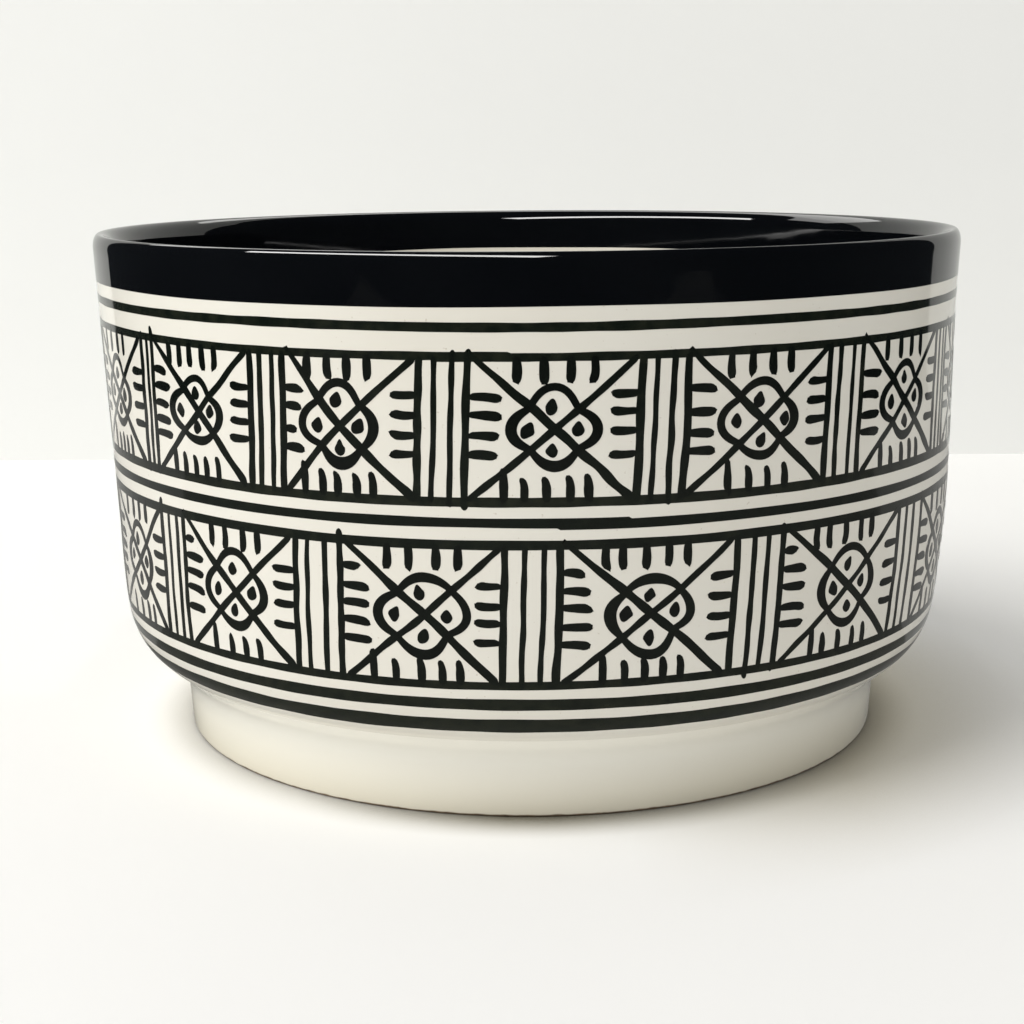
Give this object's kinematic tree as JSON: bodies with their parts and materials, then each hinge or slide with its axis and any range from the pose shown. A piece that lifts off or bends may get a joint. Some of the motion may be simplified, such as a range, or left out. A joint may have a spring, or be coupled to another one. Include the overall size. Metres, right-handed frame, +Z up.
{
  "type": "painted ceramic bowl",
  "caption": "Deep straight-sided glazed ceramic bowl on an inset foot ring, with a black glazed rim and two painted friezes of crossed panels between ring lines.",
  "frame": {"origin": "centre of the foot's base, on the surface that the bowl stands on", "axes": "+Z up through the bowl's turning axis; -Y is the front, where the two friezes' panels face the viewer"},
  "size_m": [0.2032, 0.2032, 0.1168],
  "materials": {
    "cream_glaze": "glossy clear glaze over cream slip",
    "foot_glaze": "glossy clear glaze over cream slip, wiped bare where it stands",
    "black_glaze": "mirror-glossy black glaze",
    "charcoal_paint": "brushed charcoal underglaze paint beneath the clear glaze"
  },
  "bodies": {
    "root": {"bowl_body": "cream_glaze", "foot_ring": "foot_glaze", "rim_glaze": "black_glaze", "rim_line": "charcoal_paint", "upper_frieze": "charcoal_paint", "middle_line": "charcoal_paint", "lower_frieze": "charcoal_paint", "base_line_narrow": "charcoal_paint", "base_line_wide": "charcoal_paint"}
  },
  "joints": []
}
